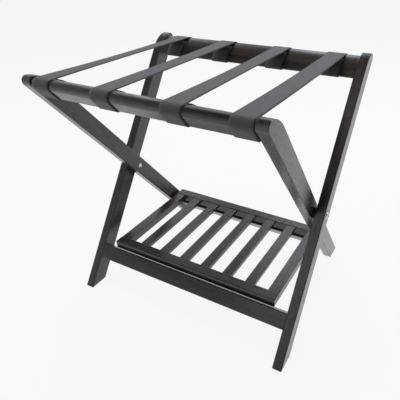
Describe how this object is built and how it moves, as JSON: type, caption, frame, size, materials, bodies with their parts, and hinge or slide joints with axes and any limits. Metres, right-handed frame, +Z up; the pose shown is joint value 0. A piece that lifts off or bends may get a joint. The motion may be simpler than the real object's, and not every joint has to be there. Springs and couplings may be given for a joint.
{
  "type": "folding luggage rack",
  "caption": "Folding wooden luggage rack: crossed leg frames on scissor pivots, webbing straps across the top and a slatted lower shelf that hinges up.",
  "frame": {"origin": "on the floor, midway between the two sides and under the scissor axis", "axes": "+X along the rails to the right as seen from the front, -Y to the front where the inner frame's rail is, +Z up"},
  "size_m": [0.5204, 0.4238, 0.5079],
  "materials": {
    "espresso_wood": "near-black espresso stain under satin lacquer",
    "webbing": "flat woven black webbing",
    "bright_steel": "bright plated steel",
    "nylon_spacer": "black nylon",
    "beech_dowel": "raw wood, hidden in the joints"
  },
  "bodies": {
    "outer_frame": {"outer_leg_left": "espresso_wood", "outer_leg_right": "espresso_wood", "rear_top_rail": "espresso_wood", "front_crossbar": "espresso_wood", "outer_frame_dowels": "beech_dowel", "pivot_bolt_left": "bright_steel", "pivot_bolt_right": "bright_steel", "pivot_sleeve_nut_left": "bright_steel", "pivot_sleeve_nut_right": "bright_steel", "pivot_spacer_left": "nylon_spacer", "pivot_spacer_right": "nylon_spacer", "strap_1_rear_loop": "webbing", "strap_2_rear_loop": "webbing", "strap_3_rear_loop": "webbing", "strap_4_rear_loop": "webbing", "strap_1_span": "webbing", "strap_2_span": "webbing", "strap_3_span": "webbing", "strap_4_span": "webbing"},
    "inner_frame": {"inner_leg_left": "espresso_wood", "inner_leg_right": "espresso_wood", "front_top_rail": "espresso_wood", "rear_crossbar": "espresso_wood", "inner_frame_dowels": "beech_dowel", "hinge_screws_crossbar": "bright_steel", "hinge_fixed_leaf_left": "bright_steel", "hinge_fixed_leaf_right": "bright_steel", "hinge_pin_left": "bright_steel", "hinge_pin_right": "bright_steel", "strap_1_front_loop": "webbing", "strap_2_front_loop": "webbing", "strap_3_front_loop": "webbing", "strap_4_front_loop": "webbing"},
    "shelf": {"shelf_front_strip": "espresso_wood", "shelf_rear_strip": "espresso_wood", "hinge_screws_shelf": "bright_steel", "shelf_slat_1": "espresso_wood", "shelf_slat_2": "espresso_wood", "shelf_slat_3": "espresso_wood", "shelf_slat_4": "espresso_wood", "shelf_slat_5": "espresso_wood", "shelf_slat_6": "espresso_wood", "shelf_slat_7": "espresso_wood", "shelf_slat_8": "espresso_wood", "hinge_moving_leaf_left": "bright_steel", "hinge_moving_leaf_right": "bright_steel"}
  },
  "joints": [
    {"name": "fold", "type": "hinge", "parent": "outer_frame", "child": "inner_frame", "pos_m": [0, 0, 0.2405], "axis": [-1, 0, 0], "range_deg": [0, 62], "deforming": ["strap_1_span", "strap_2_span", "strap_3_span", "strap_4_span"]},
    {"name": "shelf_lift", "type": "hinge", "parent": "inner_frame", "child": "shelf", "pos_m": [0, 0.13772, 0.07929], "axis": [-1, 0, 0], "range_deg": [0, 53]}
  ]
}
